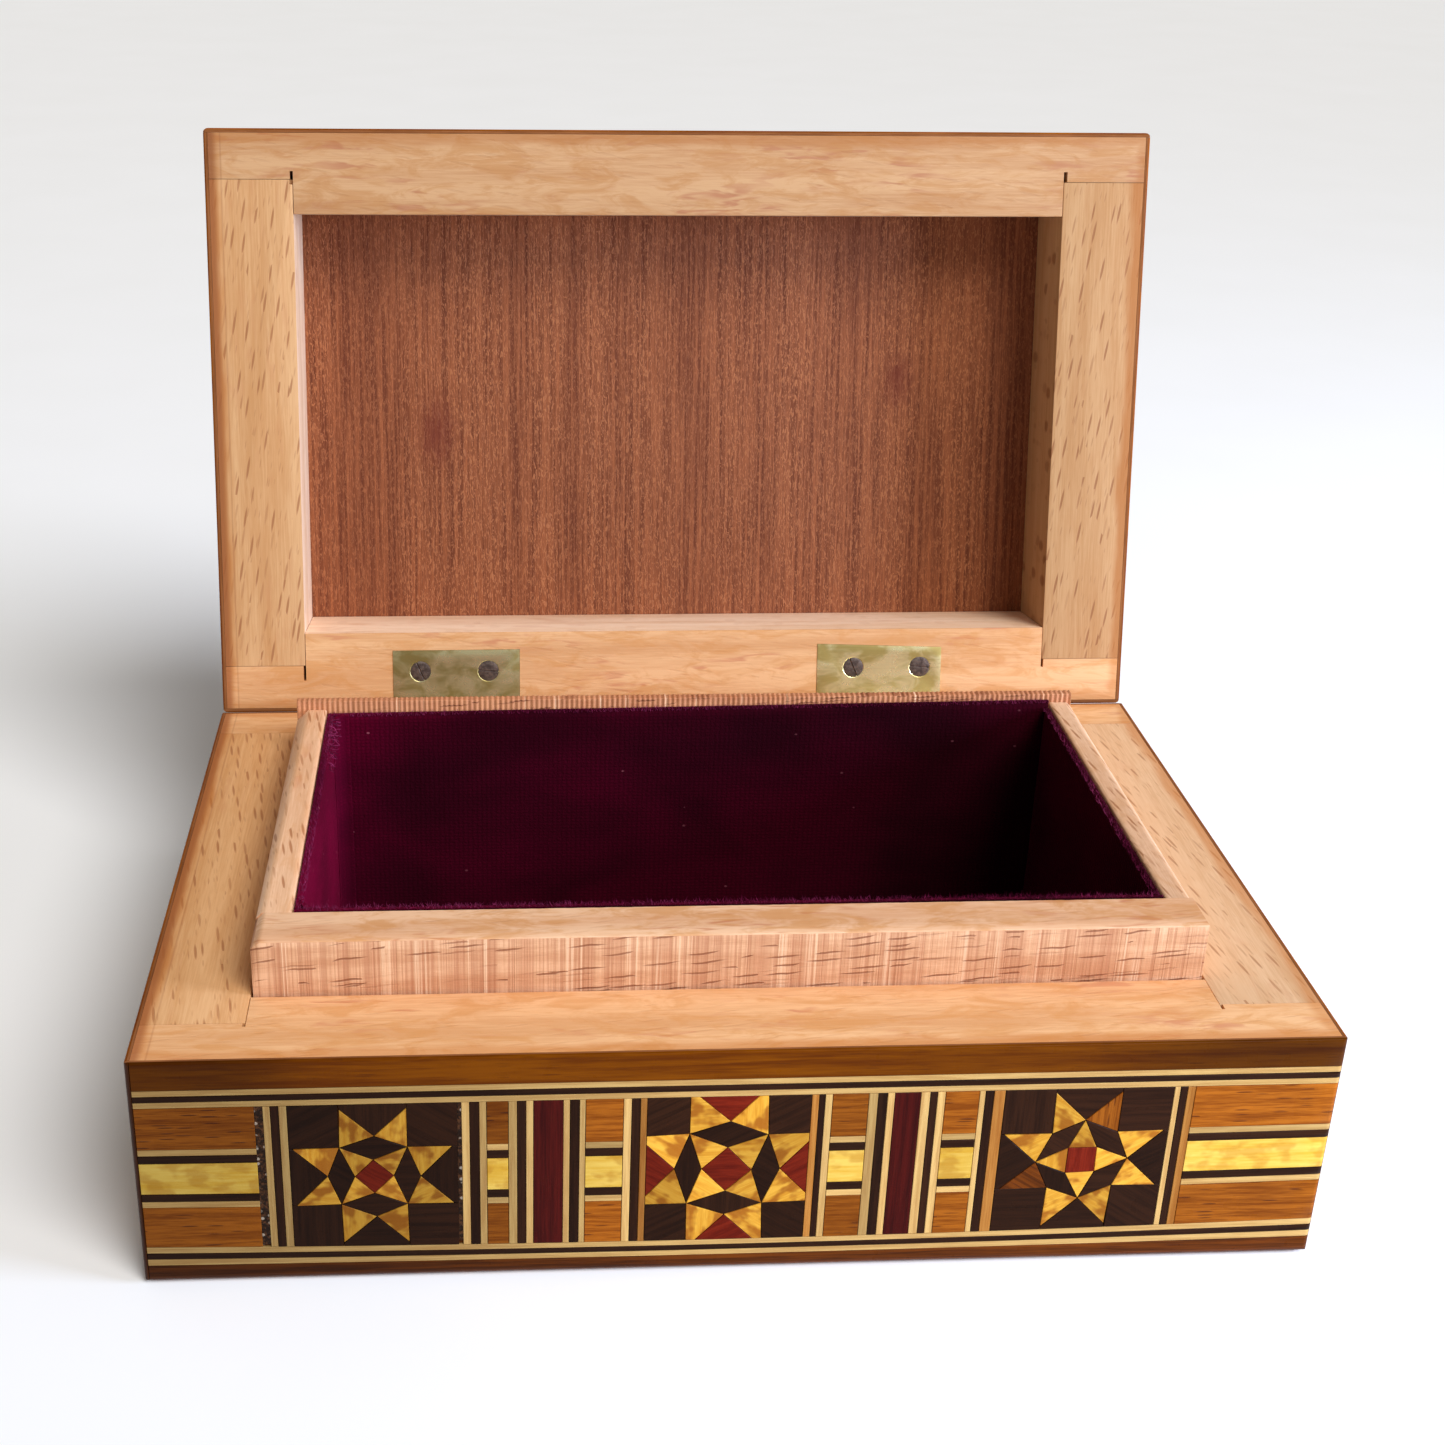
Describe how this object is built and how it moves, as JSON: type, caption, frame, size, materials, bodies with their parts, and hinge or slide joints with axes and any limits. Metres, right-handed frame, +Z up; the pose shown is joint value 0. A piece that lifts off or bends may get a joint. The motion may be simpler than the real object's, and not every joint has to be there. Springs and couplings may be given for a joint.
{
  "type": "inlaid wooden box",
  "caption": "Rectangular keepsake box with a hinged lid standing open, beech frames, raised liner strips, a velvet lining, brass butt hinges and a marquetry skin of stars and stringing.",
  "frame": {"origin": "middle of the base's flat underside, on the surface that the box stands on", "axes": "+X along the hinge towards the box's right side seen from the front, -Y towards the front, +Z up"},
  "size_m": [0.18, 0.1594, 0.1497],
  "materials": {
    "beech": "sanded and thinly oiled beech, flecked",
    "sapele": "bare sapele veneer, matt",
    "velvet": "burgundy velvet, short pile",
    "brass": "rolled sheet, a little tarnished",
    "screw_steel": "dull slotted heads",
    "border_veneer": "stained walnut-brown veneer, lacquered",
    "stringing": "light and black laminated stringing, lacquered",
    "mahogany": "orange-brown mahogany, lacquered",
    "maroon": "dyed maroon veneer, lacquered",
    "star_block": "black, yellow and red tiles, lacquered"
  },
  "bodies": {
    "base": {"base_back_marquetry": "border_veneer", "base_back_wall": "beech", "base_bottom_board": "sapele", "base_front_bottom_border": "border_veneer", "base_front_left_end_block": "mahogany", "base_front_left_line_panel": "maroon", "base_front_left_star": "star_block", "base_front_left_stringing": "stringing", "base_front_lower_stringing": "stringing", "base_front_middle_star": "star_block", "base_front_right_end_block": "mahogany", "base_front_right_line_panel": "maroon", "base_front_right_star": "star_block", "base_front_right_stringing": "stringing", "base_front_top_border": "border_veneer", "base_front_upper_stringing": "stringing", "base_front_wall": "beech", "base_left_marquetry": "border_veneer", "base_left_wall": "beech", "base_right_marquetry": "border_veneer", "base_right_wall": "beech", "left_hinge_base_leaf": "brass", "left_hinge_base_screw_1": "screw_steel", "left_hinge_base_screw_2": "screw_steel", "left_hinge_pin": "brass", "liner_back_strip": "beech", "liner_front_strip": "beech", "liner_left_strip": "beech", "liner_right_strip": "beech", "right_hinge_base_leaf": "brass", "right_hinge_base_screw_1": "screw_steel", "right_hinge_base_screw_2": "screw_steel", "right_hinge_pin": "brass", "velvet_back_panel": "velvet", "velvet_floor": "velvet", "velvet_front_panel": "velvet", "velvet_left_panel": "velvet", "velvet_right_panel": "velvet"},
    "lid": {"left_hinge_lid_leaf": "brass", "left_hinge_lid_screw_1": "screw_steel", "left_hinge_lid_screw_2": "screw_steel", "lid_back_marquetry": "border_veneer", "lid_back_rail": "beech", "lid_front_marquetry": "border_veneer", "lid_front_rail": "beech", "lid_left_marquetry": "border_veneer", "lid_left_stile": "beech", "lid_panel": "sapele", "lid_right_marquetry": "border_veneer", "lid_right_stile": "beech", "lid_top_border": "border_veneer", "lid_top_frieze": "mahogany", "lid_top_star_panel": "star_block", "right_hinge_lid_leaf": "brass", "right_hinge_lid_screw_1": "screw_steel", "right_hinge_lid_screw_2": "screw_steel"}
  },
  "joints": [
    {"name": "lid_hinge", "type": "hinge", "parent": "base", "child": "lid", "pos_m": [0, 0.05645, 0.0399], "axis": [1, 0, 0], "range_deg": [0, 102.3]}
  ]
}
